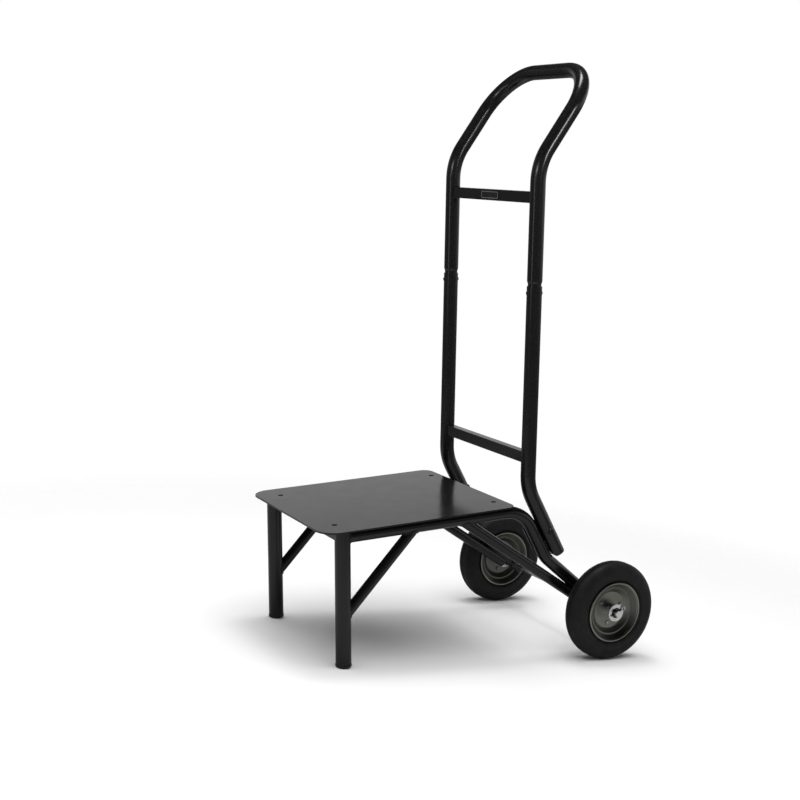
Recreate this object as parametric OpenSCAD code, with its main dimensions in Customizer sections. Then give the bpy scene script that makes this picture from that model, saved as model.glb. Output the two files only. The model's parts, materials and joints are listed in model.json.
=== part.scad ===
// Stacking chair trolley: a flat deck on two front legs and two wheels, with a tall bent-back handle.
// Millimetres, +Z up, front toward -Y, +X on the left of the person who pushes it.
// Frame sizes are measured from the axle, along and square to the deck. The whole frame then leans
// forward until the wheels and the front edges of the feet stand on the floor.

/* [Wheels] */
// Tyre outside diameter
wheel_d = 203.2; // [190:0.1:230]
// Tyre width across the sidewalls
tyre_w = 44; // [40:1:50]
// Rounding of the tyre shoulders
shoulder_r = 18; // [12:1:19]
// Rounding of the tyre sidewall above the rim
sidewall_r = 9; // [6:1:10]
// Width of the three grooves round the tread
groove_w = 2; // [1:0.5:3]
// Depth of the three grooves round the tread
groove_deep = 1.2; // [0.5:0.1:3]
// Gap between an upright and the tyre beside it
wheel_gap = 12.4; // [10:0.1:20]
// Height of the tyre over the rim
tyre_h = 39.1; // [35:0.1:42]
// Rim sheet thickness
rim_t = 2; // [1.5:0.1:2.5]
// Thickness of the rolled rim edge
rim_roll_d = 4; // [3:0.1:5]
// Width of the sloping part of the rim
rim_slope = 24.5; // [20:0.5:28]
// Step in the slope: where it starts, as a share of the slope's width
step_from = 0.35; // [0.25:0.01:0.4]
// Step in the slope: where it ends, as a share of the slope's width
step_to = 0.5; // [0.45:0.01:0.6]
// Step in the slope: its height, as a share of the slope's height
step_high = 0.47; // [0.35:0.01:0.55]
// Rolled edge inside the tyre sidewall
rim_inset = 2.7; // [2:0.1:4]
// Hub tube outside diameter
hub_d = 30; // [24:1:34]
// Rivets in each wheel
rivet_n = 3; // [2:1:6]
// Rivet shank diameter
rivet_d = 5; // [4:0.5:6]
// Turn of the rivet circle round the axle
rivet_turn = 114; // [0:1:180]

/* [Axle] */
// Axle rod diameter
axle_d = 12.7; // [11:0.1:14]
// Running clearance between hub and axle, on the radius
run_gap = 0.08; // [0.05:0.01:0.1]
// Side play at each end of a hub
side_play = 0.3; // [0.2:0.1:0.8]
// Washer outside diameter
washer_d = 36; // [30:1:40]
// Washer thickness
washer_t = 2; // [1.5:0.1:3]
// Spacer outside diameter
spacer_d = 20; // [17:1:24]
// Axle rod left past the outer washer
axle_stub = 9; // [7:0.5:14]
// Cotter pin diameter
cotter_d = 3.2; // [2:0.1:4]
// Cotter pin length from the axle centre to each tip
cotter_reach = 14; // [11:0.5:18]
// Cotter pin eye diameter, to the wire centre
cotter_eye = 8; // [7:0.5:10]
// Wire of the cotter pin eye
eye_wire = 2.4; // [1.6:0.1:3]
// Turn of the cotter pins up from level
cotter_turn = 23; // [0:1:90]

/* [Tubes] */
// Outside diameter of uprights, handle and front legs
tube_d = 30; // [26:0.5:34]
// Wall of uprights, handle and front legs
tube_wall = 1.5; // [1.2:0.1:2.5]
// Outside diameter of the side rails
rail_d = 25; // [22:0.5:26]
// Wall of the side rails
rail_wall = 1.5; // [1.2:0.1:2]
// Outside diameter of the braces
brace_d = 21; // [17:0.5:23]
// Wall of the braces
brace_wall = 1.5; // [1:0.1:2]
// Height of the crossbars
bar_h = 22; // [18:0.5:25]
// Depth of the crossbars, front to back
bar_t = 16; // [12:0.5:20]
// Wall of the crossbars
bar_wall = 1.5; // [1:0.1:2]
// Side of the square deck bearers
bearer = 20; // [16:0.5:24]
// Wall of the deck bearers
bearer_wall = 1.5; // [1.2:0.1:2]
// Each thinner tube sits this much further out than the next thicker one
jig_step = 0.3; // [0.2:0.1:0.5]
// Thinning of both faces of a tube where it is bent
bend_thin = 0.02; // [0.01:0.01:0.1]

/* [Frame] */
// Distance between the uprights, centre to centre
frame_w = 317; // [300:1:340]
// Front legs ahead of the axle
leg_y = 581.2; // [540:0.1:620]
// Undersides of the feet below the axle
foot_drop = 29.8; // [20:0.1:45]
// Top of the deck above the axle
deck_z = 237.2; // [222:0.1:252]
// Bend of the side rails under the deck
rail_bend_r = 70; // [60:1:80]
// Bend of the side rails toward the axle
rail_low_bend_r = 60; // [45:1:75]
// Length of the steep run of the side rails, corner to corner
rail_steep = 118.9; // [105:0.1:130]
// Fall of the lower end of the side rails, below the deck plane
rail_fall = 41.6; // [39:0.1:44]
// Height of the side rails over the axle centre
rail_over = 3.6; // [2:0.1:4]
// Side rails past the axle centre
rail_past = 26; // [22:1:36]
// Front brace on the leg, above the foot
brace_low = 92.8; // [80:0.1:120]
// Front brace on the rail, as a share of the way from the leg to the rear brace
brace_share = 0.612; // [0.4:0.001:0.75]
// Fall of the rear brace, below the deck plane
rear_fall = 35.8; // [34:0.1:37]
// Rear brace centre line below the axle centre
rear_under = 10.5; // [9.5:0.1:13]
// Rear brace stops this far before the axle centre
rear_stop = 22; // [18:1:40]

/* [Uprights] */
// Lower bend of the uprights above the deck top
upright_rise = 28.8; // [24:0.1:40]
// Lean of the uprights back from square to the deck
upright_lean = 1.1; // [0:0.1:4]
// Slope of the feet of the uprights from square to the deck
foot_slope = 27.6; // [26:0.1:30]
// Bend of the uprights above their feet
upright_bend_r = 100; // [80:1:120]
// Length of the foot from the bend
foot_len = 158; // [145:1:170]
// Clearance between the foot and the side rail
foot_gap = 1.2; // [0.5:0.1:1.5]
// Top of the uprights above the bend
upright_top = 401; // [360:1:440]
// Lower crossbar above the bend
low_bar_at = 61.6; // [50:0.1:90]
// Foot bolt above the end of the foot
foot_bolt_up = 54; // [48:1:60]
// Bracket plate thickness
bracket_t = 4; // [3:0.5:5]
// Bracket plate length along the foot
bracket_len = 50; // [40:1:60]
// Bracket plate reach past the tube centre lines
bracket_past = 11; // [9:1:13]

/* [Handle] */
// Length of the drawn-down neck inside the upright
neck_in = 60; // [40:1:80]
// Length of the neck left showing above the upright
neck_show = 5; // [3:0.5:10]
// Length of the shoulder from the neck to the full tube
neck_cone = 5; // [3:0.5:10]
// Clearance of the neck in the upright, on the radius
neck_gap = 0.2; // [0.1:0.05:0.4]
// Handle rivet below the top of the upright
handle_rivet_at = 13; // [11:0.5:24]
// Upper crossbar below the bend of the handle
high_bar_down = 64.7; // [55:0.1:120]
// Bend of the handle above the lower bend of the upright
handle_bend_at = 635.7; // [625:0.1:700]
// Handle lean back from the uprights
handle_lean = 35.6; // [20:0.1:45]
// Bend of the handle
handle_bend_r = 110; // [70:1:120]
// Grip centre line from the bend
handle_len = 224; // [205:1:260]
// Bend at each end of the grip
corner_r = 100; // [80:1:110]

/* [Deck] */
// Deck sheet thickness
deck_t = 3; // [2.5:0.1:4]
// Deck past the outer sides of the legs
deck_lip = 4.5; // [3:0.5:8]
// Deck past the leg centres, to the front
deck_nose = 46; // [42:0.5:60]
// Rear edge of the deck ahead of the lower bend of the uprights
deck_gap = 36.2; // [33:0.1:60]
// Rounding of the front corners
front_corner_r = 38; // [25:1:40]
// Rounding of the rear corners
rear_corner_r = 20; // [12:1:26]
// Rear bearer ahead of the rear edge, to its centre
rear_bearer_in = 22; // [18:0.5:40]
// Deck screws in from the ends of the bearers
screw_in = 18.5; // [14:0.5:40]

/* [Plugs and feet] */
// Clearance of a plug in its tube, on the radius
plug_gap = 0.1; // [0.05:0.01:0.2]
// Length of a plug inside its tube
plug_in = 14; // [10:1:20]
// Thickness of a foot under its leg
foot_t = 5; // [3.5:0.5:8]
// Foot past the side of its leg
foot_lip = 0.6; // [0.3:0.1:2]
// Rounding of the lower edge of a foot
foot_edge_r = 2; // [1:0.1:2.5]
// Thickness of the plug heads in the uprights and rails
plug_t = 3; // [2:0.5:4]

/* [Fasteners] */
// Shank diameter of the foot bolts and the handle rivets
bolt_d = 8; // [6:0.5:9]
// Clearance of bolts, rivets and screws in their holes, on the radius
bolt_gap = 0.25; // [0.1:0.05:0.5]
// Foot bolt head diameter
bolt_head_d = 13; // [11:0.5:16]
// Foot bolt head height
bolt_head_h = 3; // [2.5:0.1:5]
// Nut width across flats
nut_af = 13; // [12:0.5:15]
// Nut height
nut_h = 6.5; // [5:0.1:8]
// Foot bolt shank past its nut
bolt_end = 2; // [1:0.5:5]
// Handle rivet head diameter
joint_head_d = 10; // [9:0.5:14]
// Handle rivet head height
joint_head_h = 1.8; // [1.5:0.1:4]
// Deck screw shank diameter
screw_d = 5; // [4:0.5:6]
// Deck screw head diameter
screw_head_d = 11; // [9.5:0.5:12]
// Deck screw length under the deck
screw_len = 11; // [8:1:13]
// Driver recess at the bottom, in the deck screws and the foot bolts
socket_d = 4; // [2:0.1:5]
// Rim of a deck screw head round its driver recess
screw_rim = 1; // [0.5:0.1:2]

/* [Hidden] */
$fn = 64;
left = 1;
right = -1;
black = [0.06, 0.06, 0.065];
rubber = [0.12, 0.12, 0.12];
zinc = [0.75, 0.76, 0.78];
rim_grey = [0.36, 0.36, 0.33];

// Cutters run this far past the faces they cut
past = 1;
// Straight lengths of tube run this far into a bend
bend_lap = 0.5;
tube_r = tube_d / 2;
rail_r = rail_d / 2;
axle_r = axle_d / 2;
side_x = frame_w / 2;
inner_x = side_x - tube_r;
rail_x = inner_x + jig_step + rail_r;
brace_x = rail_x;

// The wheel, about its own middle plane
wheel_r = wheel_d / 2;
rim_r = wheel_r - tyre_h;
disc_r = rim_r - rim_slope;
rivet_ring_r = (disc_r + hub_d / 2) / 2;
wheel_x = side_x + tube_r + wheel_gap + tyre_w / 2;
rim_edge = tyre_w / 2 - rim_inset;
step_x = rim_t + step_high * (rim_edge - rim_t);
rim_line = [[hub_d / 2, rim_t], [disc_r, rim_t], [disc_r + step_from * rim_slope, step_x],
            [disc_r + step_to * rim_slope, step_x],
            [rim_r - rim_roll_d / 2, rim_edge - rim_roll_d / 4]];
tyre_base = rim_r + rim_roll_d / 4;
rivet_head_d = 1.8 * rivet_d;
rivet_head_h = 0.5 * rivet_d;

// Deck and the tubes under it
deck_under = deck_z - deck_t;
rail_z = deck_under - rail_r;
bearer_z = deck_under - bearer / 2;
deck_front = leg_y + deck_nose;
deck_half = side_x + tube_r + deck_lip;
screw_x = inner_x - screw_in;

// The frame tips about the axle until the feet are down
foot_r = tube_r + foot_lip;
toe_y = leg_y + foot_r - foot_edge_r;
toe_z = foot_drop - foot_edge_r;
tilt = asin((wheel_r - foot_edge_r) / norm([toe_y, toe_z])) - atan2(toe_z, toe_y);
axle_y = (deck_front * cos(tilt) + deck_z * sin(tilt) - wheel_r) / 2;

// Side rail: it runs under the deck, falls steeply beside the upright's foot, then down to the axle.
// Its lower corner lies on the line to the axle, its upper corner on the line under the deck.
pitch = sqrt(pow(tube_r + rail_r + foot_gap, 2) - pow(side_x - rail_x, 2));
rail_p2_z = rail_z - rail_steep * cos(foot_slope);
rail_p2_y = (rail_over - cos(rail_fall) * rail_p2_z) / sin(rail_fall);
rail_p1_y = rail_p2_y - rail_steep * sin(foot_slope);
rail_turn1 = 90 - foot_slope;
rail_turn2 = rail_turn1 - rail_fall;
rail_cut1 = rail_bend_r * tan(rail_turn1 / 2);
rail_cut2 = rail_low_bend_r * tan(rail_turn2 / 2);
rail_low = sin(rail_fall) * rail_p2_z - cos(rail_fall) * rail_p2_y;
rail_steps = [[leg_y + rail_p1_y - rail_cut1, rail_bend_r, rail_turn1, 0],
              [rail_steep - rail_cut1 - rail_cut2, rail_low_bend_r, rail_turn2, 180],
              [rail_low - rail_cut2 + rail_past, 0, 0, 0]];
rail_foot = [0, rail_over * sin(rail_fall), rail_over * cos(rail_fall)];
rail_dir = [0, cos(rail_fall), -sin(rail_fall)];

// Upright: its foot lies along the rail's steep run, and its lower bend stands above the deck
bend_z = deck_z + upright_rise;
foot_line = cos(foot_slope) * rail_p2_y + sin(foot_slope) * rail_p2_z + pitch;
upright_y = (sin(foot_slope) * bend_z - foot_line) / cos(foot_slope);
bend_p = [0, -upright_y, bend_z];
foot_clear = foot_gap + rail_low_bend_r * (1 / cos(rail_turn2 / 2) - 1);
foot_dir = [0, sin(foot_slope), -cos(foot_slope)];
foot_end = bend_p + foot_len * foot_dir;
upright_turn = foot_slope + upright_lean;
upright_cut = upright_bend_r * tan(upright_turn / 2);
foot_bolt_p = bend_p + (foot_len - foot_bolt_up) * foot_dir;
deck_rear = upright_y + deck_gap;
rear_bearer_y = deck_rear + rear_bearer_in;

// Braces
rear_top_y = (rear_under + cos(rear_fall) * rail_z) / sin(rear_fall);
brace_back = brace_share * (leg_y - rear_top_y);
front_low_z = brace_low - foot_drop;
front_rise = rail_z - front_low_z;
front_angle = atan2(brace_back, front_rise);
front_brace_len = norm([brace_back, front_rise]);
rear_foot = [0, -rear_under * sin(rear_fall), -rear_under * cos(rear_fall)];
rear_dir = [0, cos(rear_fall), -sin(rear_fall)];
rear_brace_len = (rail_z - rear_foot[2]) / sin(rear_fall);

// Handle
neck_r = tube_r - tube_wall - neck_gap;
handle_start = upright_top + neck_show + neck_cone;
handle_cut = handle_bend_r * tan(handle_lean / 2);
handle_steps = [[handle_bend_at - handle_start - handle_cut, handle_bend_r, handle_lean, 0],
                [handle_len - handle_cut - corner_r, corner_r, 90, 90]];
grip_step = [[2 * (side_x - corner_r) + bend_lap, 0, 0, 0]];
handle_rivet_z = upright_top - handle_rivet_at;
hole_r = bolt_d / 2 + bolt_gap;

// Parts along the axle
spacer_start = rail_x + rail_r;
hub_in = wheel_x - tyre_w / 2;
hub_out = wheel_x + tyre_w / 2;
washer_in = hub_in - side_play - washer_t;
washer_out = hub_out + side_play;
cotter_x = washer_out + washer_t + cotter_d / 2 + side_play;
axle_end = washer_out + washer_t + axle_stub;

// Sends a frame piece to where it stands: tipped about the axle and raised to wheel height
module on_frame() {
    translate([0, axle_y, wheel_r])
        rotate([tilt, 0, 0])
            children();
}

// Works from the lower bend of an upright, up its straight length
module on_upright() {
    on_frame()
        translate(bend_p)
            rotate([-upright_lean, 0, 0])
                children();
}

// Draws a piece made for the left on either side
module on_side(side) {
    mirror([side == left ? 0 : 1, 0, 0])
        children();
}

// Draws a piece on both sides
module both_sides() {
    for (side = [left, right])
        on_side(side)
            children();
}

// Tube section; a wall of zero makes it solid
module section(d, wall) {
    difference() {
        circle(d = d);
        if (wall > 0) circle(d = d - 2 * wall);
    }
}

// Straight tube up +Z
module tube(d, wall, h) {
    linear_extrude(h)
        section(d, wall);
}

// Rod or hole along +X
module along_x(d, from, to) {
    translate([from, 0, 0])
        rotate([0, 90, 0])
            cylinder(d = d, h = to - from);
}

// Bent tube: each step is a straight length, then a bend of a radius and angle in a rolled direction.
// The straight lengths run a little into the bends, which are thinner.
module bent_tube(d, wall, steps, i = 0) {
    run = steps[i][0];
    radius = steps[i][1];
    angle = steps[i][2];
    roll = steps[i][3];
    start = i == 0 ? 0 : -bend_lap;
    end = angle > 0 ? run + bend_lap : run;
    translate([0, 0, start])
        tube(d, wall, end - start);
    if (angle > 0)
        translate([0, 0, run])
            rotate([0, 0, roll])
                translate([0, radius, 0])
                    rotate([90, 0, -90])
                        rotate_extrude(angle = angle)
                            translate([radius, 0])
                                section(d - 2 * bend_thin, wall - 2 * bend_thin);
    if (i + 1 < len(steps))
        translate([0, 0, run])
            rotate([0, 0, roll])
                translate([0, radius * (1 - cos(angle)), radius * sin(angle)])
                    rotate([-angle, 0, 0])
                        rotate([0, 0, -roll])
                            bent_tube(d, wall, steps, i + 1);
}

// Ring about +X, from one place to another
module ring_x(d, bore, from, to) {
    translate([from, 0, 0])
        rotate([0, 90, 0])
            linear_extrude(to - from)
                difference() {
                    circle(d = d);
                    circle(d = bore);
                }
}

// Low round head on a tube's side at z = 0, sunk to the tube's own curve by the cut that follows
module low_head(size, rise) {
    translate([0, 0, -rise])
        cylinder(d1 = size + rise, d2 = size - rise, h = 2 * rise);
}

// Hexagon nut standing on z = 0
module nut() {
    linear_extrude(nut_h)
        difference() {
            polygon([for (i = [0:5]) nut_af / sqrt(3) * [cos(60 * i), sin(60 * i)]]);
            circle(d = bolt_d);
        }
}

// Plug with a head outside z = 0 and a stem up into a tube
module plug(tube_size, wall, head_size) {
    translate([0, 0, -plug_t])
        cylinder(d = head_size, h = plug_t);
    cylinder(d = tube_size - 2 * wall - 2 * plug_gap, h = plug_in);
}

// Tube shapes, left side, in the frame
module leg_line(wall, from, to) {
    translate([side_x, -leg_y, from])
        tube(tube_d, wall, to - from);
}

module rail_line(wall) {
    translate([rail_x, -leg_y, rail_z])
        rotate([-90, 0, 0])
            bent_tube(rail_d, wall, rail_steps);
}

// Room for the rail under the foot of an upright: the foot is cut to a slant along the rail's lower run
module rail_room() {
    translate(rail_foot)
        rotate([-rail_fall, 0, 0])
            translate([inner_x - past, -rail_low, rail_r + foot_clear - foot_len])
                cube([tube_d + 2 * past, 2 * rail_low, foot_len]);
}

// Solid of the rail's straight length under the deck
module rail_top_solid() {
    translate([rail_x, -leg_y, rail_z])
        rotate([-90, 0, 0])
            cylinder(d = rail_d, h = leg_y);
}

// Solid of the rail's straight length at the axle
module rail_low_solid() {
    translate([rail_x, 0, 0] + rail_foot - rail_low * rail_dir)
        rotate([-90 - rail_fall, 0, 0])
            cylinder(d = rail_d, h = rail_low + rail_past);
}

module upright_foot() {
    translate([side_x, 0, 0] + foot_end)
        rotate([foot_slope, 0, 0])
            children();
}

module foot_bolt_at_side() {
    translate(foot_bolt_p)
        children();
}

module upright(side) {
    color(black)
        on_side(side)
            difference() {
                on_frame()
                    upright_foot()
                        bent_tube(tube_d, tube_wall,
                                  [[foot_len - upright_cut, upright_bend_r, upright_turn, 0],
                                   [upright_top - upright_cut, 0, 0, 0]]);
                on_frame()
                    rail_room();
                on_frame()
                    foot_bolt_at_side()
                        along_x(2 * hole_r, inner_x - past, side_x + tube_r + past);
                on_upright()
                    translate([side_x, -tube_d, handle_rivet_z])
                        rotate([-90, 0, 0])
                            cylinder(r = hole_r, h = 2 * tube_d);
            }
}

module upright_plug(side) {
    color(rubber)
        on_side(side)
            on_frame()
                difference() {
                    upright_foot()
                        plug(tube_d, tube_wall, tube_d);
                    rail_room();
                }
}

// One side of the handle, from the end of its neck up
module handle_side(steps) {
    translate([side_x, 0, upright_top])
        rotate_extrude()
            polygon([[neck_r - tube_wall, -neck_in], [neck_r, -neck_in], [neck_r, neck_show],
                     [tube_r - bend_thin, neck_show + neck_cone],
                     [tube_r - bend_thin, neck_show + neck_cone + bend_lap],
                     [tube_r - tube_wall + bend_thin, neck_show + neck_cone + bend_lap],
                     [tube_r - tube_wall + bend_thin, neck_show + neck_cone],
                     [neck_r - tube_wall, neck_show]]);
    translate([side_x, 0, handle_start])
        bent_tube(tube_d, tube_wall, steps);
}

module handle_loop() {
    color(black)
        on_upright()
            difference() {
                union() {
                    on_side(left)
                        handle_side(concat(handle_steps, grip_step));
                    on_side(right)
                        handle_side(handle_steps);
                }
                both_sides()
                    translate([side_x, -tube_d, handle_rivet_z])
                        rotate([-90, 0, 0])
                            cylinder(r = hole_r, h = 2 * tube_d);
            }
}

// Crossbar with its ends shaped to the round tubes
module crossbar(at) {
    color(black)
        on_upright()
            difference() {
                translate([-side_x, 0, at])
                    rotate([0, 90, 0])
                        linear_extrude(frame_w)
                            difference() {
                                square([bar_h, bar_t], center = true);
                                square([bar_h - 2 * bar_wall, bar_t - 2 * bar_wall], center = true);
                            }
                both_sides()
                    translate([side_x, 0, at - bar_h])
                        cylinder(d = tube_d, h = 2 * bar_h);
            }
}

// Deck outline seen from above
module deck_outline() {
    length = deck_front - deck_rear;
    middle = length - front_corner_r - rear_corner_r;
    front_half = deck_half - front_corner_r;
    rear_half = deck_half - rear_corner_r;
    translate([-deck_half, -deck_front + front_corner_r])
        square([2 * deck_half, middle]);
    translate([-front_half, -deck_front])
        square([2 * front_half, length / 2]);
    translate([-rear_half, -deck_rear - length / 2])
        square([2 * rear_half, length / 2]);
    for (s = [left, right]) {
        translate([s * front_half, -deck_front + front_corner_r])
            circle(r = front_corner_r);
        translate([s * rear_half, -deck_rear - rear_corner_r])
            circle(r = rear_corner_r);
    }
}

// Places of the deck screws, at the deck top
module at_screws() {
    for (s = [left, right], y = [leg_y, rear_bearer_y])
        translate([s * screw_x, -y, deck_z])
            children();
}

// Countersunk shape under z = 0, with a clearance all round
module countersunk(gap, depth) {
    head = screw_head_d / 2 + gap;
    shank = screw_d / 2 + gap;
    rotate_extrude()
        polygon([[0, 0], [head, 0], [shank, shank - head], [shank, -depth], [0, -depth]]);
}

module deck_plate() {
    color(black)
        on_frame()
            difference() {
                translate([0, 0, deck_under])
                    linear_extrude(deck_t)
                        deck_outline();
                at_screws()
                    countersunk(bolt_gap, 2 * deck_t);
            }
}

module deck_screws() {
    dish_r = screw_head_d / 2 - screw_rim;
    color(black)
        on_frame()
            at_screws()
                difference() {
                    countersunk(0, deck_t + screw_len);
                    rotate_extrude()
                        polygon([[0, -deck_t / 2], [socket_d / 2, -deck_t / 2], [dish_r, 0],
                                 [dish_r, past], [0, past]]);
                }
}

module deck_bearer(y) {
    color(black)
        on_frame()
            difference() {
                translate([-inner_x, -y, bearer_z])
                    rotate([0, 90, 0])
                        linear_extrude(2 * inner_x)
                            difference() {
                                square(bearer, center = true);
                                square(bearer - 2 * bearer_wall, center = true);
                            }
                at_screws()
                    translate([0, 0, -deck_t - bearer / 2])
                        cylinder(r = screw_d / 2 + bolt_gap, h = bearer);
            }
}

module side_rail(side) {
    color(black)
        on_side(side)
            on_frame()
                difference() {
                    rail_line(rail_wall);
                    leg_line(0, 0, deck_z);
                    along_x(axle_d + 2 * bolt_gap, inner_x, side_x + tube_d);
                }
}

module rail_plug(side) {
    color(rubber)
        on_side(side)
            on_frame()
                translate([rail_x, 0, 0] + rail_foot + rail_past * rail_dir)
                    rotate([90 - rail_fall, 0, 0])
                        plug(rail_d, rail_wall, rail_d);
}

module front_leg(side) {
    color(black)
        on_side(side)
            on_frame()
                leg_line(tube_wall, foot_t - foot_drop, deck_under);
}

// Foot: a rounded pad under the leg with a stem up inside it
module foot(side) {
    color(rubber)
        on_side(side)
            on_frame()
                translate([side_x, -leg_y, -foot_drop])
                    rotate_extrude() {
                        square([foot_r - foot_edge_r, foot_t]);
                        translate([0, foot_edge_r])
                            square([foot_r, foot_t - foot_edge_r]);
                        translate([foot_r - foot_edge_r, foot_edge_r])
                            circle(r = foot_edge_r);
                        square([tube_r - tube_wall - plug_gap, foot_t + plug_in]);
                    }
}

module front_brace(side) {
    color(black)
        on_side(side)
            on_frame()
                difference() {
                    translate([brace_x, -leg_y, front_low_z])
                        rotate([-front_angle, 0, 0])
                            tube(brace_d, brace_wall, front_brace_len);
                    leg_line(0, 0, deck_z);
                    rail_top_solid();
                }
}

module rear_brace(side) {
    color(black)
        on_side(side)
            on_frame()
                difference() {
                    translate([brace_x, 0, 0] + rear_foot - rear_brace_len * rear_dir)
                        rotate([-90 - rear_fall, 0, 0])
                            tube(brace_d, brace_wall, rear_brace_len - rear_stop);
                    rail_top_solid();
                    rail_low_solid();
                }
}

// Plate on the inner sides of rail and upright foot, with the bolt hole
module upright_bracket(side) {
    color(black)
        on_side(side)
            on_frame()
                difference() {
                    foot_bolt_at_side()
                        rotate([foot_slope, 0, 0])
                            translate([inner_x - bracket_t, -pitch - bracket_past, -bracket_len / 2])
                                cube([bracket_t, pitch + 2 * bracket_past, bracket_len]);
                    foot_bolt_at_side()
                        along_x(2 * hole_r, 0, side_x);
                }
}

module foot_bolts() {
    face = side_x + tube_r;
    color(black)
        both_sides()
            on_frame() {
                difference() {
                    foot_bolt_at_side()
                        translate([face, 0, 0])
                            rotate([0, 90, 0])
                                low_head(bolt_head_d, bolt_head_h);
                    upright_foot()
                        cylinder(d = tube_d, h = foot_len);
                    foot_bolt_at_side()
                        along_x(socket_d, face + bolt_head_h / 2, face + 2 * bolt_head_h);
                }
                foot_bolt_at_side()
                    along_x(bolt_d, inner_x - bracket_t - nut_h - bolt_end, face + bolt_head_h / 4);
            }
}

module foot_nuts() {
    color(zinc)
        both_sides()
            on_frame()
                foot_bolt_at_side()
                    translate([inner_x - bracket_t, 0, 0])
                        rotate([0, -90, 0])
                            nut();
}

// Rivet through each handle joint, its low heads shaped to the upright
module handle_rivets() {
    reach = tube_r + joint_head_h / 4;
    color(black)
        both_sides()
            on_upright()
                translate([side_x, 0, handle_rivet_z]) {
                    difference() {
                        for (turn = [90, -90])
                            rotate([turn, 0, 0])
                                translate([0, 0, tube_r])
                                    low_head(joint_head_d, joint_head_h);
                        translate([0, 0, -tube_d])
                            cylinder(d = tube_d, h = 2 * tube_d);
                    }
                    rotate([90, 0, 0])
                        cylinder(d = bolt_d, h = 2 * reach, center = true);
                }
}

module axle() {
    color(zinc)
        on_frame()
            difference() {
                along_x(axle_d, -axle_end, axle_end);
                both_sides()
                    translate([cotter_x, 0, 0])
                        rotate([cotter_turn, 0, 0])
                            rotate([-90, 0, 0])
                                cylinder(d = cotter_d, h = 2 * axle_d, center = true);
            }
}

module axle_spacer(side) {
    color(zinc)
        on_side(side)
            on_frame()
                ring_x(spacer_d, axle_d, spacer_start, washer_in);
}

module axle_washers() {
    color(zinc)
        both_sides()
            on_frame()
                for (x = [washer_in, washer_out])
                    ring_x(washer_d, axle_d, x, x + washer_t);
}

// Split pin through each end of the axle, with its eye to the rear
module cotter_pins() {
    color(zinc)
        both_sides()
            on_frame()
                translate([cotter_x, 0, 0])
                    rotate([cotter_turn, 0, 0]) {
                        translate([0, -cotter_reach, 0])
                            rotate([-90, 0, 0])
                                cylinder(d = cotter_d, h = 2 * cotter_reach);
                        translate([0, cotter_reach + cotter_eye / 2, 0])
                            rotate([0, 90, 0])
                                rotate_extrude()
                                    translate([cotter_eye / 2, 0])
                                        circle(d = eye_wire);
                    }
}

// Works about a wheel's middle plane, its axis along +Z and its outer side up
module on_wheel(side) {
    on_side(side)
        translate([wheel_x, axle_y, wheel_r])
            rotate([0, 90, 0])
                children();
}

// Places of the rivets on a rim disc
module at_rivets() {
    for (i = [0 : rivet_n - 1])
        rotate([0, 0, rivet_turn + 360 * i / rivet_n])
            translate([rivet_ring_r, 0, 0])
                children();
}

// Tyre section: a rounded block, and a base held between the two rim halves
module tyre_section() {
    half = tyre_w / 2;
    crown = half - shoulder_r;
    foot = half - sidewall_r;
    low = tyre_base + sidewall_r;
    high = wheel_r - shoulder_r;
    translate([low, -half])
        square([high - low, tyre_w]);
    translate([tyre_base, -foot])
        square([high - tyre_base, 2 * foot]);
    translate([low, -crown])
        square([wheel_r - low, 2 * crown]);
    for (s = [left, right]) {
        translate([high, s * crown])
            circle(r = shoulder_r);
        translate([low, s * foot])
            circle(r = sidewall_r);
    }
    bed = [for (i = [1 : len(rim_line) - 1]) rim_line[i] - [0, rim_t]];
    half_base = concat(bed, [[low, rim_edge - rim_t]]);
    last = len(half_base) - 1;
    polygon(concat([for (q = half_base) [q[0], -q[1]]], [for (i = [last : -1 : 1]) half_base[i]]));
}

module tyre(side) {
    color(rubber)
        on_wheel(side)
            rotate_extrude($fn = 96)
                difference() {
                    tyre_section();
                    for (k = [-1, 0, 1])
                        translate([wheel_r - groove_deep, (k * 2 - 0.5) * groove_w])
                            square([2 * groove_deep, groove_w]);
                }
}

// One half of the rim: a flat disc, a stepped slope up to the edge, and the rolled edge
module rim_half() {
    last = len(rim_line) - 1;
    under = [for (q = rim_line) q - [0, rim_t]];
    difference() {
        rotate_extrude($fn = 96) {
            polygon(concat(under, [for (i = [last : -1 : 0]) rim_line[i]]));
            translate([rim_r - rim_roll_d / 2, rim_edge])
                circle(d = rim_roll_d);
        }
        at_rivets()
            cylinder(d = rivet_d, h = tyre_w, center = true);
    }
}

module rim_outer(side) {
    color(rim_grey)
        on_wheel(side)
            rim_half();
}

module rim_inner(side) {
    color(rim_grey)
        on_wheel(side)
            mirror([0, 0, 1])
                rim_half();
}

module hub(side) {
    color(zinc)
        on_wheel(side)
            translate([0, 0, -tyre_w / 2])
                tube(hub_d, hub_d / 2 - axle_r - run_gap, tyre_w);
}

// Rivets through both rim halves, a flat head on each
module rim_rivets(side) {
    color(rim_grey)
        on_wheel(side)
            at_rivets() {
                translate([0, 0, -rim_t])
                    cylinder(d = rivet_d, h = 2 * rim_t);
                for (s = [0, 1])
                    mirror([0, 0, s])
                        translate([0, 0, rim_t])
                            cylinder(d1 = rivet_head_d, d2 = rivet_d, h = rivet_head_h);
            }
}

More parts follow.
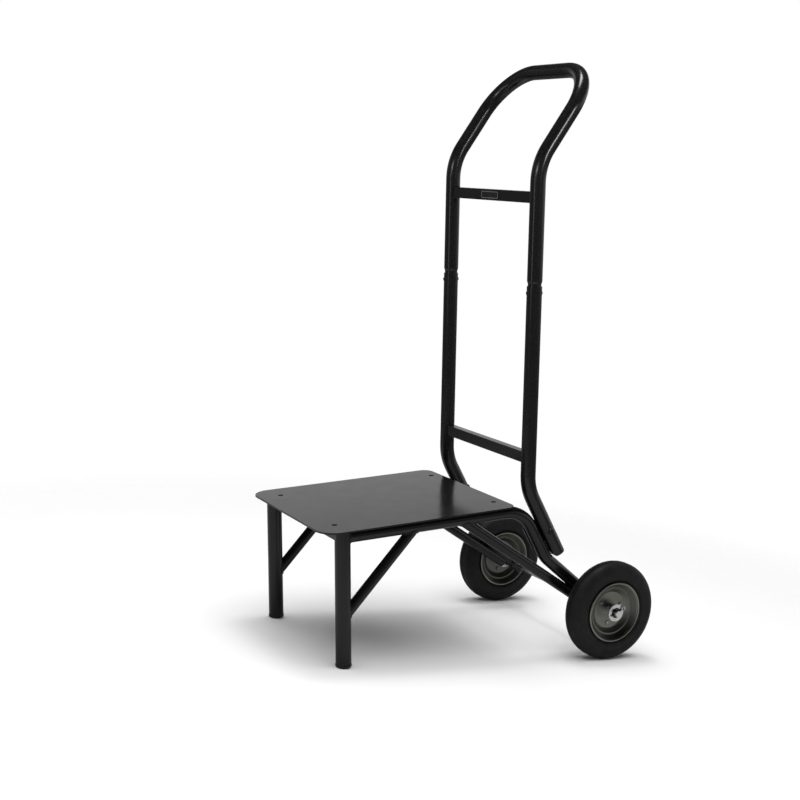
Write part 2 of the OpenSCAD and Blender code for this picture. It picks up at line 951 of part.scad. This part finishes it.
handle_loop();
crossbar(handle_bend_at - high_bar_down);  // upper_crossbar
crossbar(low_bar_at);  // lower_crossbar
upright(left);  // upright_left
upright(right);  // upright_right
upright_plug(left);  // upright_plug_left
upright_plug(right);  // upright_plug_right
deck_plate();
deck_bearer(leg_y);  // deck_bearer_front
deck_bearer(rear_bearer_y);  // deck_bearer_rear
side_rail(left);  // side_rail_left
side_rail(right);  // side_rail_right
rail_plug(left);  // rail_plug_left
rail_plug(right);  // rail_plug_right
front_leg(left);  // front_leg_left
front_leg(right);  // front_leg_right
foot(left);  // foot_left
foot(right);  // foot_right
front_brace(left);  // front_brace_left
front_brace(right);  // front_brace_right
rear_brace(left);  // rear_brace_left
rear_brace(right);  // rear_brace_right
upright_bracket(left);  // upright_bracket_left
upright_bracket(right);  // upright_bracket_right
axle();
axle_spacer(left);  // axle_spacer_left
axle_spacer(right);  // axle_spacer_right
axle_washers();
cotter_pins();
deck_screws();
handle_rivets();
foot_bolts();
foot_nuts();
tyre(left);  // tyre_left
tyre(right);  // tyre_right
rim_outer(left);  // rim_outer_left
rim_outer(right);  // rim_outer_right
rim_inner(left);  // rim_inner_left
rim_inner(right);  // rim_inner_right
hub(left);  // hub_left
hub(right);  // hub_right
rim_rivets(left);  // rim_rivets_left
rim_rivets(right);  // rim_rivets_right
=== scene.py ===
"""Stacking chair trolley: paints the frame, adds weld beads and a bare name plate, and sets the studio.

Lengths are in metres. The camera's place is given square to the deck, from the axle, and at_frame() sends
it to where the trolley stands.
"""
import json
import math

import bmesh
import bpy
import numpy as np
from mathutils import Matrix, Vector
from mathutils.bvhtree import BVHTree


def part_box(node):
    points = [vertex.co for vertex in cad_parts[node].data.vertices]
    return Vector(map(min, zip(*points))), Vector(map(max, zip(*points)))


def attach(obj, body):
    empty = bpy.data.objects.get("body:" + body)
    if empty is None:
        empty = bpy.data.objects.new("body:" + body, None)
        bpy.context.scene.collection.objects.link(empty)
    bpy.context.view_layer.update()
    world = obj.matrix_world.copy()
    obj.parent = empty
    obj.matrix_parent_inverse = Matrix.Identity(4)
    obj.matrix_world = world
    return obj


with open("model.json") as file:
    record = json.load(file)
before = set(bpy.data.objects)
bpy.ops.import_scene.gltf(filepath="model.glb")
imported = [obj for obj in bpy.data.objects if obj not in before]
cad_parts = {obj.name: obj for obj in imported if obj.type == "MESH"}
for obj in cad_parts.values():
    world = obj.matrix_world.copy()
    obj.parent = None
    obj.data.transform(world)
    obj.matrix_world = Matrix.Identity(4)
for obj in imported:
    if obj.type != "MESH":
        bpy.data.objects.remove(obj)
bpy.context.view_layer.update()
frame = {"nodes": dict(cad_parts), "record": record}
NODES = frame["nodes"]

# The frame's own sizes, worked from the boxes of its pieces
AXLE = (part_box("axle")[0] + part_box("axle")[1]) / 2
TYRE_LOW, TYRE_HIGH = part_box("tyre_left")
WHEEL_R = (TYRE_HIGH.z - TYRE_LOW.z) / 2
WHEEL_X = (TYRE_HIGH.x + TYRE_LOW.x) / 2
RIM_LOW, RIM_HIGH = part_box("rim_outer_left")
RIM_R = (RIM_HIGH.z - RIM_LOW.z) / 2

# Lean of the standing trolley, from the way its deck faces
DECK_NORMAL = Vector(frame["record"]["mounts"][0]["axis"])
TIP = Matrix.Rotation(math.atan2(-DECK_NORMAL.y, DECK_NORMAL.z), 3, "X")

# Camera: its place from the axle, square to the deck, where it looks, and its lens in pixels of a
# square picture
CAM_PLACE = (2.37436, -1.66359, 0.94644)
CAM_AZIMUTH = math.radians(61.49)
CAM_DOWN = math.radians(10.70)
CAM_REACH = 100
SENSOR_MM = 36.0
FOCAL_PX = 1379.7
PICTURE_PX = 800

# Paints, metals and mouldings, as colours
FRAME_BLACK = (0.004, 0.004, 0.0044, 1)
DECK_BLACK = (0.006, 0.006, 0.0063, 1)
BOLT_BLACK = (0.01, 0.01, 0.0105, 1)
SCREW_BLACK = (0.005, 0.005, 0.0053, 1)
RUBBER_BLACK = (0.008, 0.008, 0.0086, 1)
RUBBER_BLOOM = (0.015, 0.015, 0.0158, 1)
ZINC_BRIGHT = (0.92, 0.925, 0.93, 1)
ZINC_CLOUD = (0.74, 0.75, 0.76, 1)
# Painted shade for the gap round the axle
AXLE_GAP_SHADE = (0.05, 0.049, 0.045, 1)
PLASTIC_BLACK = (0.012, 0.012, 0.013, 1)
PLASTIC_SCUFF = (0.03, 0.03, 0.03, 1)

# How much paler dust is than the paint under it
DUST_LIFT = 1.7

# Rim plating: blue as a share of red and green, and how pale it is where it is clean and where it is
# stained, with painted shade up the slope and on the half towards the frame, and a painted highlight at
# the edge
OLIVE_BLUE = 0.88
RIM_CLEAN = 0.31
RIM_STAINED = 0.275
RIM_SLOPE_SHADE = 0.13
RIM_INNER_SHADE = 0.12
RIM_EDGE_HIGHLIGHT = 0.36

# Where on the rim the painted shade of the slope comes on, as shares of its radius; half the width over
# which its two halves change; and where the painted highlight of the edge starts and is full, in from the
# rim's own edge
SLOPE_SHADE_FROM = 0.6
SLOPE_SHADE_FULL = 0.82
HALVES_BLEND = 0.003
EDGE_HIGHLIGHT_FROM = 0.0045
EDGE_HIGHLIGHT_FULL = 0.0035

# How pale the rivets are against the rim's sheet
RIVET_SHADE = 1.7

# Moulded rings on the tyre: their spacing and depth, and two bands of them, each with its middle and
# with how far from that the rings are full and gone
RING_STEP = 0.0032
RING_DEEP = 0.0004
SHOULDER_RINGS = (WHEEL_R - 0.017, 0.004, 0.006)
BEAD_RINGS = (RIM_R + 0.006, 0.003, 0.004)

# Ring of painted shade round the axle, in the gap at its bore, given in the same way
AXLE_GAP_SHADE_RING = (0.0086, 0.0018, 0.0024)

# Weld beads: radius, ripple and how thin it is between ripples, how near an edge lies to what it is welded
# to, the least turn of a sharp edge, the most across a bore, the shortest seam, how near the ends of a
# closed one are, and the fewest points on one
WELD_R = 0.0021
WELD_STEP = 0.0022
WELD_NECK = 0.78
SEAM_NEAR = 0.0004
SHARP = math.radians(25)
BORE_ACROSS = 0.03
SEAM_LEAST = 0.045
SEAM_CLOSED = 0.004
SEAM_POINTS = 8
SAME_POINT = 1e-6

# Pieces that are welded at both sides, each with what it is welded to
WELDED = (
    ("lower_crossbar", "upright"),
    ("side_rail", "front_leg"),
    ("front_brace", "front_leg"),
    ("front_brace", "side_rail"),
    ("rear_brace", "side_rail"),
)

# Name plate: width, height, corner rounding and thickness, how far its border stands up, and the rings
# that the border runs through, each with its inset and its rise over the plate
PLATE_W = 0.062
PLATE_H = 0.0145
PLATE_CORNER = 0.003
PLATE_T = 0.0006
BORDER_UP = 0.0003
BORDER_RINGS = ((0.0002, 0), (0.0004, BORDER_UP), (0.0016, BORDER_UP), (0.0018, 0))

# Backdrop: how far its middle is turned from behind the trolley towards -X, and how directly a direction
# points at it where it starts and where it is full
BACKDROP_TURN = math.radians(27)
BACKDROP_FADE = (0.0, 0.6)

# What the paint and the metal mirror: the backdrop, the open side of the room, and the floor beyond the
# set; and what share of the first two at the top of the walls, and of that again at the ceiling
MIRRORED = 0.735
MIRRORED_OPEN = 0.16
MIRRORED_LOW = 0.13
WALL_TOP = 0.74
MIRRORED_HIGH = 0.08

# Heights of a direction, as the sine of its rise, over which the floor gives way to the walls, the walls
# to their top, that to the ceiling, and the room's glow at the horizon to its glow overhead
FLOOR_TO_WALL = (-0.02, 0.06)
WALL_TO_TOP = (0.28, 0.34)
TOP_TO_CEILING = (0.34, 0.42)
GLOW_RISE = (0.1, 0.7)
HORIZON_GLOW = 0.3
ZENITH_GLOW = 0.15

# Floor: as the camera and as the trolley sees it, its roughness and shine, and the ring over which it
# fades out
FLOOR_SEEN = 0.86
FLOOR_BOUNCE = 0.4
FLOOR_ROUGH = 0.9
FLOOR_SHINE = 0.1
FLOOR_FADE = (0.95, 1.6)

# Soft boxes: place, what they face, width and height, and watts
OVERHEAD = ((0.3, -0.4, 3.2), (0, 0, 0), (4.5, 4.5), 165)
TOP_BOX = ((-0.33, -0.03, 3.2), (0.14, 0.1, 1.14), (0.85, 0.6), 18)

# Small boxes that draw lines of light along the pieces in LINED, and light nothing else
LINE_BOXES = {
    "front_box": ((0.44, -2.44, 0.95), (0.16, 0.02, 0.85), (0.32, 1.5), 3.2),
    "front_high_box": ((1.07, -2.38, 1.46), (0.16, 0.02, 0.96), (0.4, 0.45), 6),
    "side_box": ((2.96, 0.53, 1.89), (0.16, 0.05, 1.03), (0.5, 0.82), 22),
}
LINED = ("handle_loop", "upright_left", "upright_right")


# Shader building


def new_material(name):
    """A material with its node tree, its shader, and coordinates in metres."""
    mat = bpy.data.materials.new(name)
    mat.use_nodes = True
    tree = mat.node_tree
    shader = tree.nodes["Principled BSDF"]
    coord = tree.nodes.new("ShaderNodeTexCoord")
    return mat, tree, shader, coord.outputs["Object"]


def math_node(tree, kind, a, b=None, c=None):
    """A Math node; numbers go on its sockets, sockets are linked."""
    node = tree.nodes.new("ShaderNodeMath")
    node.operation = kind
    for socket, value in zip(node.inputs, (a, b, c)):
        if value is None:
            continue
        if isinstance(value, (int, float)):
            socket.default_value = value
        else:
            tree.links.new(value, socket)
    return node.outputs[0]


def noise(tree, coord, scale, detail=3.0, rough=0.55):
    """Noise of so many features to the metre."""
    node = tree.nodes.new("ShaderNodeTexNoise")
    node.inputs["Scale"].default_value = scale
    node.inputs["Detail"].default_value = detail
    node.inputs["Roughness"].default_value = rough
    tree.links.new(coord, node.inputs["Vector"])
    return node.outputs["Fac"]


def span(tree, value, low, high, to_low=0.0, to_high=1.0):
    """Maps a value from one range to another, held at the ends."""
    node = tree.nodes.new("ShaderNodeMapRange")
    tree.links.new(value, node.inputs["Value"])
    for key, number in (("From Min", low), ("From Max", high), ("To Min", to_low), ("To Max", to_high)):
        node.inputs[key].default_value = number
    return node.outputs["Result"]


def band(tree, value, middle, full, gone):
    """One near a middle value, nought away from it."""
    off = math_node(tree, "ABSOLUTE", math_node(tree, "SUBTRACT", value, middle))
    return span(tree, off, full, gone, 1.0, 0.0)


def mix_colour(tree, factor, first, second):
    """Mixes two colours, each a colour or a socket."""
    node = tree.nodes.new("ShaderNodeMix")
    node.data_type = "RGBA"
    tree.links.new(factor, node.inputs["Factor"])
    for key, colour in (("A", first), ("B", second)):
        socket = [s for s in node.inputs if s.name == key and s.type == "RGBA"][0]
        if isinstance(colour, tuple):
            socket.default_value = colour
        else:
            tree.links.new(colour, socket)
    return [s for s in node.outputs if s.type == "RGBA"][0]


def bump(tree, height, distance, normal=None, strength=1.0):
    """Bump of a height field, its depth in metres."""
    node = tree.nodes.new("ShaderNodeBump")
    node.inputs["Strength"].default_value = strength
    node.inputs["Distance"].default_value = distance
    tree.links.new(height, node.inputs["Height"])
    if normal is not None:
        tree.links.new(normal, node.inputs["Normal"])
    return node.outputs["Normal"]


def soft_edges(tree, radius):
    """Rounds the look of sharp edges."""
    node = tree.nodes.new("ShaderNodeBevel")
    node.samples = 4
    node.inputs["Radius"].default_value = radius
    return node.outputs["Normal"]


def dress(tree, shader, colour, roughness, normal):
    """Links a shader's colour, roughness and normal."""
    for key, socket in (("Base Color", colour), ("Roughness", roughness), ("Normal", normal)):
        tree.links.new(socket, shader.inputs[key])


def grey(value):
    return (value, value, value, 1)


def wheel_places(tree, coord):
    """A surface point's distance from the axle line, and its place along it."""
    split = tree.nodes.new("ShaderNodeSeparateXYZ")
    tree.links.new(coord, split.inputs["Vector"])
    y = math_node(tree, "SUBTRACT", split.outputs["Y"], AXLE.y)
    z = math_node(tree, "SUBTRACT", split.outputs["Z"], AXLE.z)
    square = math_node(tree, "ADD", math_node(tree, "MULTIPLY", y, y), math_node(tree, "MULTIPLY", z, z))
    return math_node(tree, "SQRT", square), split.outputs["X"]


# Materials


def powder_coat(name, base, rough_low, rough_high, edge, peel=0.000005, specular=0.5):
    """Black powder coat: a fine orange peel, faint dust, and duller patches."""
    mat, tree, shader, coord = new_material(name)
    dust = span(tree, noise(tree, coord, 140, 4.0, 0.6), 0.45, 0.8)
    colour = mix_colour(tree, dust, base, tuple(c * DUST_LIFT for c in base[:3]) + (1,))
    roughness = span(tree, noise(tree, coord, 24, 4.0, 0.6), 0.3, 0.7, rough_low, rough_high)
    normal = bump(tree, noise(tree, coord, 300, 2.0, 0.5), peel, soft_edges(tree, edge))
    dress(tree, shader, colour, roughness, normal)
    shader.inputs["IOR"].default_value = 1.5
    shader.inputs["Specular IOR Level"].default_value = specular
    return mat


def rubber(name):
    """Tyre rubber: moulded rings on the shoulder and near the rim, bloom in patches and a fine grain."""
    mat, tree, shader, coord = new_material(name)
    radius, _ = wheel_places(tree, coord)
    bloom = span(tree, noise(tree, coord, 45, 5.0, 0.6), 0.35, 0.75)
    colour = mix_colour(tree, bloom, RUBBER_BLACK, RUBBER_BLOOM)
    roughness = span(tree, noise(tree, coord, 60, 4.0), 0.3, 0.7, 0.46, 0.62)
    wave = math_node(tree, "SINE", math_node(tree, "MULTIPLY", radius, 2 * math.pi / RING_STEP))
    shoulder = band(tree, radius, *SHOULDER_RINGS)
    bead = band(tree, radius, *BEAD_RINGS)
    rings = math_node(tree, "MULTIPLY", wave, math_node(tree, "MAXIMUM", shoulder, bead))
    normal = bump(tree, rings, RING_DEEP, None, 0.8)
    normal = bump(tree, noise(tree, coord, 900, 2.0), 0.00006, normal)
    dress(tree, shader, colour, roughness, normal)
    shader.inputs["Specular IOR Level"].default_value = 0.32
    return mat


def pressed_steel(name, shade):
    """Rim sheet: dull olive plating that mirrors its surroundings, drawn round the axle."""
    def olive(value):
        return (shade * value, shade * value, shade * OLIVE_BLUE * value, 1)

    mat, tree, shader, coord = new_material(name)
    radius, across = wheel_places(tree, coord)
    stain = span(tree, noise(tree, coord, 70, 5.0, 0.65), 0.35, 0.7)
    colour = mix_colour(tree, stain, olive(RIM_CLEAN), olive(RIM_STAINED))
    # Painted shade darkens the slope up to the edge and the half towards the frame, and a painted
    # highlight makes the edge paler
    slope_shade = span(tree, radius, SLOPE_SHADE_FROM * RIM_R, SLOPE_SHADE_FULL * RIM_R)
    colour = mix_colour(tree, slope_shade, colour, olive(RIM_SLOPE_SHADE))
    outward = math_node(tree, "ABSOLUTE", across)
    inner_shade = span(tree, outward, WHEEL_X - HALVES_BLEND, WHEEL_X + HALVES_BLEND, 1.0, 0.0)
    colour = mix_colour(tree, inner_shade, colour, olive(RIM_INNER_SHADE))
    edge_highlight = span(tree, radius, RIM_R - EDGE_HIGHLIGHT_FROM, RIM_R - EDGE_HIGHLIGHT_FULL)
    colour = mix_colour(tree, edge_highlight, colour, olive(RIM_EDGE_HIGHLIGHT))
    roughness = span(tree, noise(tree, coord, 90, 4.0), 0.3, 0.7, 0.32, 0.42)
    normal = bump(tree, noise(tree, radius, 1400, 2.0), 0.000012, soft_edges(tree, 0.0008))
    dress(tree, shader, colour, roughness, normal)
    shader.inputs["Metallic"].default_value = 1.0
    return mat


def bright_zinc(name):
    """Zinc plating: bright, with cloudy patches, fine scratches and a ring of painted shade round the
    axle.
    """
    mat, tree, shader, coord = new_material(name)
    cloud = span(tree, noise(tree, coord, 160, 4.0, 0.6), 0.35, 0.7)
    colour = mix_colour(tree, cloud, ZINC_BRIGHT, ZINC_CLOUD)
    radius, _ = wheel_places(tree, coord)
    # A ring of painted shade round the axle, in the gap at its bore
    colour = mix_colour(tree, band(tree, radius, *AXLE_GAP_SHADE_RING), colour, AXLE_GAP_SHADE)
    roughness = span(tree, noise(tree, coord, 300, 3.0), 0.3, 0.7, 0.16, 0.36)
    normal = bump(tree, noise(tree, coord, 1500, 2.0), 0.00003, soft_edges(tree, 0.0004))
    dress(tree, shader, colour, roughness, normal)
    shader.inputs["Metallic"].default_value = 1.0
    return mat


def moulded_plastic(name):
    """Plugs and feet: matt black moulding with a fine spark texture and scuffs."""
    mat, tree, shader, coord = new_material(name)
    scuff = span(tree, noise(tree, coord, 130, 6.0, 0.7), 0.55, 0.8)
    colour = mix_colour(tree, scuff, PLASTIC_BLACK, PLASTIC_SCUFF)
    roughness = span(tree, noise(tree, coord, 80, 3.0), 0.3, 0.7, 0.45, 0.62)
    normal = bump(tree, noise(tree, coord, 1100, 2.0), 0.00005, soft_edges(tree, 0.0008))
    dress(tree, shader, colour, roughness, normal)
    return mat


MATERIALS = {
    "frame_paint": powder_coat("frame_paint", FRAME_BLACK, 0.16, 0.24, edge=0.0006),
    "deck_paint": powder_coat("deck_paint", DECK_BLACK, 0.15, 0.2, edge=0.0009, peel=0.000004),
    "tyre_rubber": rubber("tyre_rubber"),
    "rim_paint": pressed_steel("rim_paint", 1.0),
    "zinc_steel": bright_zinc("zinc_steel"),
    "plug_plastic": moulded_plastic("plug_plastic"),
    "bolt_black": powder_coat("bolt_black", BOLT_BLACK, 0.3, 0.42, edge=0.0004),
}


def paint_frame():
    """Gives each piece its slot's material. The heads of the rim's rivets are paler than its
    sheet, and the deck's screws are a matt black."""
    for entry in frame["record"]["subparts"]:
        mesh = NODES[entry["node"]].data
        mesh.materials.clear()
        mesh.materials.append(MATERIALS[entry["material_slot"]])
    rivet_steel = pressed_steel("rivet_steel", RIVET_SHADE)
    for side in ("left", "right"):
        NODES[f"rim_rivets_{side}"].data.materials[0] = rivet_steel
    screw_black = powder_coat("screw_black", SCREW_BLACK, 0.5, 0.62, edge=0.0004, specular=0.12)
    NODES["deck_screws"].data.materials[0] = screw_black


# Weld beads


def surface_of(name):
    """A search tree of a piece's surface."""
    mesh = bmesh.new()
    mesh.from_mesh(NODES[name].data)
    tree = BVHTree.FromBMesh(mesh)
    mesh.free()
    return tree


def runs(nexts):
    """Runs through points that have neighbours, started at points with the fewest of them."""
    found, seen = [], set()
    for start in sorted(nexts, key=lambda v: len(nexts[v])):
        if start in seen:
            continue
        run, here = [start], start
        seen.add(start)
        while True:
            ahead = [n for n in nexts[here] if n not in seen]
            if not ahead:
                break
            here = ahead[0]
            seen.add(here)
            run.append(here)
        found.append(run)
    return found


def run_length(points):
    return sum((a - b).length for a, b in zip(points, points[1:]))


def seams(name, onto):
    """Runs of a piece's sharp outer edges that lie on another piece, as lists of points."""
    surface, own = surface_of(onto), surface_of(name)
    mesh = bmesh.new()
    mesh.from_mesh(NODES[name].data)
    bmesh.ops.remove_doubles(mesh, verts=mesh.verts, dist=SAME_POINT)

    def touches(point):
        return surface.find_nearest(point, SEAM_NEAR)[0] is not None

    def in_bore(middle, faces):
        looks = [own.ray_cast(middle + f.normal * SEAM_NEAR, f.normal, BORE_ACROSS) for f in faces]
        return any(hit is not None for hit, _, _, _ in looks)

    nexts = {}
    for edge in mesh.edges:
        sharp = len(edge.link_faces) == 2 and edge.calc_face_angle(0) > SHARP
        ends = [v.co for v in edge.verts]
        middle = (ends[0] + ends[1]) / 2
        if sharp and all(touches(p) for p in ends + [middle]) and not in_bore(middle, edge.link_faces):
            first, second = (v.index for v in edge.verts)
            nexts.setdefault(first, []).append(second)
            nexts.setdefault(second, []).append(first)
    places = [v.co.copy() for v in mesh.verts]
    mesh.free()
    lines = [[places[i] for i in run] for run in runs(nexts)]
    return [line for line in lines if run_length(line) > SEAM_LEAST]


def even_points(line, closed):
    """Points at even steps along a run of points, or round it where it is closed."""
    ring = line + line[:1] if closed else line
    lengths = np.cumsum([0] + [(a - b).length for a, b in zip(ring, ring[1:])])
    count = max(SEAM_POINTS, int(lengths[-1] / WELD_STEP))
    at = np.linspace(0, lengths[-1], count, endpoint=not closed)
    coords = np.array([list(p) for p in ring])
    return np.stack([np.interp(at, lengths, coords[:, k]) for k in range(3)], axis=1)


def weld(name, line):
    """A weld bead along a run of points: a tube of overlapping ripples."""
    closed = (line[0] - line[-1]).length < SEAM_CLOSED
    points = even_points(line, closed)
    curve = bpy.data.curves.new(name, "CURVE")
    curve.dimensions = "3D"
    curve.bevel_depth = WELD_R
    curve.bevel_resolution = 2
    curve.use_fill_caps = True
    spline = curve.splines.new("POLY")
    spline.points.add(len(points) - 1)
    for i, (p, xyz) in enumerate(zip(spline.points, points)):
        p.co = (*xyz, 1)
        p.radius = 1.0 if i % 2 else WELD_NECK
    spline.use_cyclic_u = closed
    piece = bpy.data.objects.new(name, curve)
    bpy.context.scene.collection.objects.link(piece)
    curve.materials.append(MATERIALS["frame_paint"])
    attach(piece, "frame")


def welds():
    """Beads where the tubes and bars are welded. Those that come at both sides are found on the right and
    mirrored to the left."""
    for i, line in enumerate(seams("upper_crossbar", "handle_loop")):
        weld(f"weld_upper_crossbar_{i}", line)
    for name, onto in WELDED:
        right = name if name in NODES else f"{name}_right"
        for i, line in enumerate(seams(right, f"{onto}_right")):
            weld(f"weld_{name}_{onto}_right_{i}", line)
            weld(f"weld_{name}_{onto}_left_{i}", [Vector((-p.x, p.y, p.z)) for p in line])


# Name plate


def rounded_outline(width, height, corner, steps=6):
    """Points round a rectangle with rounded corners, about the origin."""
    points = []
    for turn, (sx, sy) in enumerate(((1, 1), (-1, 1), (-1, -1), (1, -1))):
        middle = (sx * (width / 2 - corner), sy * (height / 2 - corner))
        for i in range(steps + 1):
            angle = math.pi / 2 * (turn + i / steps)
            points.append((middle[0] + corner * math.cos(angle), middle[1] + corner * math.sin(angle)))
    return points


def rings_mesh(name, rings, closed):
    """A mesh through rings of as many points each; closed joins the last ring to the first, and
    otherwise these two are filled."""
    mesh = bmesh.new()
    loops = [[mesh.verts.new(p) for p in ring] for ring in rings]
    count = len(loops[0])
    nexts = loops[1:] + loops[:1] if closed else loops[1:]
    for low, high in zip(loops, nexts):
        for i in range(count):
            j = (i + 1) % count
            mesh.faces.new((low[i], low[j], high[j], high[i]))
    if not closed:
        mesh.faces.new(loops[-1])
        mesh.faces.new(list(reversed(loops[0])))
    bmesh.ops.recalc_face_normals(mesh, faces=mesh.faces)
    data = bpy.data.meshes.new(name)
    mesh.to_mesh(data)
    mesh.free()
    piece = bpy.data.objects.new(name, data)
    bpy.context.scene.collection.objects.link(piece)
    return piece


def blank_plate():
    """A bare name plate on the front of the upper crossbar: a black plate with a raised bright border."""
    middle = sum(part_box("upper_crossbar"), Vector()) / 2
    below = sum(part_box("lower_crossbar"), Vector()) / 2
    across = Vector((1, 0, 0))
    upward = (middle - below).normalized()
    front = across.cross(upward)
    face = max((v.co - middle).dot(front) for v in NODES["upper_crossbar"].data.vertices)
    place = Matrix((across, upward, front)).transposed().to_4x4()
    place.translation = middle + front * face

    def ring(inset, rise):
        outline = rounded_outline(PLATE_W - 2 * inset, PLATE_H - 2 * inset, PLATE_CORNER - inset)
        return [place @ Vector((x, y, rise)) for x, y in outline]

    plate = rings_mesh("blank_plate", [ring(0, 0), ring(0, PLATE_T)], False)
    border_rings = [ring(inset, PLATE_T + rise) for inset, rise in BORDER_RINGS]
    border = rings_mesh("plate_border", border_rings, True)
    for piece, slot in ((plate, "bolt_black"), (border, "zinc_steel")):
        piece.data.materials.append(MATERIALS[slot])
        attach(piece, "frame")


# Studio and camera


def surroundings():
    """White to the camera, a dimmer room to scattered light, and a backdrop, walls and floor to what
    mirrors them."""
    world = bpy.data.worlds.new("studio")
    bpy.context.scene.world = world
    world.use_nodes = True
    tree = world.node_tree
    tree.nodes.clear()
    out = tree.nodes.new("ShaderNodeOutputWorld")
    path = tree.nodes.new("ShaderNodeLightPath")
    coord = tree.nodes.new("ShaderNodeTexCoord")
    split = tree.nodes.new("ShaderNodeSeparateXYZ")
    tree.links.new(coord.outputs["Generated"], split.inputs["Vector"])
    level = split.outputs["Z"]
    room = span(tree, level, *GLOW_RISE, HORIZON_GLOW, ZENITH_GLOW)

    toward = tree.nodes.new("ShaderNodeVectorMath")
    toward.operation = "DOT_PRODUCT"
    tree.links.new(coord.outputs["Generated"], toward.inputs[0])
    toward.inputs[1].default_value = (-math.sin(BACKDROP_TURN), math.cos(BACKDROP_TURN), 0)
    walls = span(tree, toward.outputs["Value"], *BACKDROP_FADE, MIRRORED_OPEN, MIRRORED)
    walls = math_node(tree, "MULTIPLY", walls, span(tree, level, *WALL_TO_TOP, 1.0, WALL_TOP))
    walls = math_node(tree, "MULTIPLY", walls, span(tree, level, *TOP_TO_CEILING, 1.0, MIRRORED_HIGH))
    above = span(tree, level, *FLOOR_TO_WALL)
    walls = math_node(tree, "MULTIPLY", walls, above)
    below = math_node(tree, "SUBTRACT", 1.0, above)
    mirrored = math_node(tree, "MULTIPLY_ADD", below, MIRRORED_LOW, walls)

    glossy = path.outputs["Is Glossy Ray"]
    scattered = math_node(tree, "SUBTRACT", 1.0, glossy)
    strength = math_node(tree, "MULTIPLY", room, scattered)
    strength = math_node(tree, "MULTIPLY_ADD", mirrored, glossy, strength)
    strength = math_node(tree, "MAXIMUM", strength, path.outputs["Is Camera Ray"])
    strength = math_node(tree, "MAXIMUM", strength, path.outputs["Is Transmission Ray"])
    white = tree.nodes.new("ShaderNodeBackground")
    white.inputs["Color"].default_value = grey(1)
    tree.links.new(strength, white.inputs["Strength"])
    tree.links.new(white.outputs[0], out.inputs["Surface"])


def white_floor():
    """A floor that takes a soft shadow and fades out into the white."""
    bpy.ops.mesh.primitive_plane_add(size=4 * FLOOR_FADE[1])
    floor = bpy.context.object
    floor.name = "floor"
    mat, tree, shader, coord = new_material("floor")
    path = tree.nodes.new("ShaderNodeLightPath")
    seen = mix_colour(tree, path.outputs["Is Camera Ray"], grey(FLOOR_BOUNCE), grey(FLOOR_SEEN))
    tree.links.new(seen, shader.inputs["Base Color"])
    shader.inputs["Roughness"].default_value = FLOOR_ROUGH
    shader.inputs["Specular IOR Level"].default_value = FLOOR_SHINE
    far = tree.nodes.new("ShaderNodeVectorMath")
    far.operation = "LENGTH"
    tree.links.new(coord, far.inputs[0])
    clear = tree.nodes.new("ShaderNodeBsdfTransparent")
    mix = tree.nodes.new("ShaderNodeMixShader")
    tree.links.new(span(tree, far.outputs["Value"], *FLOOR_FADE), mix.inputs["Fac"])
    tree.links.new(shader.outputs[0], mix.inputs[1])
    tree.links.new(clear.outputs[0], mix.inputs[2])
    tree.links.new(mix.outputs[0], tree.nodes["Material Output"].inputs["Surface"])
    floor.data.materials.append(mat)


def area_light(name, place, target, size, watts):
    """A soft box that faces a target."""
    data = bpy.data.lights.new(name, "AREA")
    data.shape = "RECTANGLE"
    data.size, data.size_y = size
    data.energy = watts
    light = bpy.data.objects.new(name, data)
    light.location = place
    light.visible_camera = False
    light.rotation_euler = (Vector(target) - Vector(place)).to_track_quat("-Z", "Y").to_euler()
    bpy.context.scene.collection.objects.link(light)
    return light


def lights():
    """A broad light overhead that nothing mirrors, a soft box above the handle, and the small boxes."""
    overhead = area_light("overhead", *OVERHEAD)
    overhead.visible_glossy = False
    area_light("top_box", *TOP_BOX)
    lined = bpy.data.collections.new("lined")
    for name in LINED:
        lined.objects.link(NODES[name])
    for name, box in LINE_BOXES.items():
        area_light(name, *box).light_linking.receiver_collection = lined


def at_frame(point):
    """Where a point given square to the deck, from the axle, stands."""
    return AXLE + TIP @ Vector(point)


def camera():
    """The photograph's view, carried through the lean of the standing trolley."""
    sa, ca = math.sin(CAM_AZIMUTH), math.cos(CAM_AZIMUTH)
    sd, cd = math.sin(CAM_DOWN), math.cos(CAM_DOWN)
    ahead = TIP @ Vector((-sa * cd, ca * cd, -sd))
    right = TIP @ Vector((ca, sa, 0))
    up = right.cross(ahead)
    data = bpy.data.cameras.new("camera")
    data.sensor_fit = "HORIZONTAL"
    data.sensor_width = SENSOR_MM
    data.lens = FOCAL_PX / PICTURE_PX * SENSOR_MM
    data.clip_end = CAM_REACH
    cam = bpy.data.objects.new("camera", data)
    turn = Matrix((right, up, -ahead)).transposed().to_4x4()
    cam.matrix_world = Matrix.Translation(at_frame(CAM_PLACE)) @ turn
    bpy.context.scene.collection.objects.link(cam)
    bpy.context.scene.camera = cam


paint_frame()
welds()
blank_plate()
surroundings()
white_floor()
lights()
camera()
bpy.context.scene.view_settings.view_transform = "Standard"
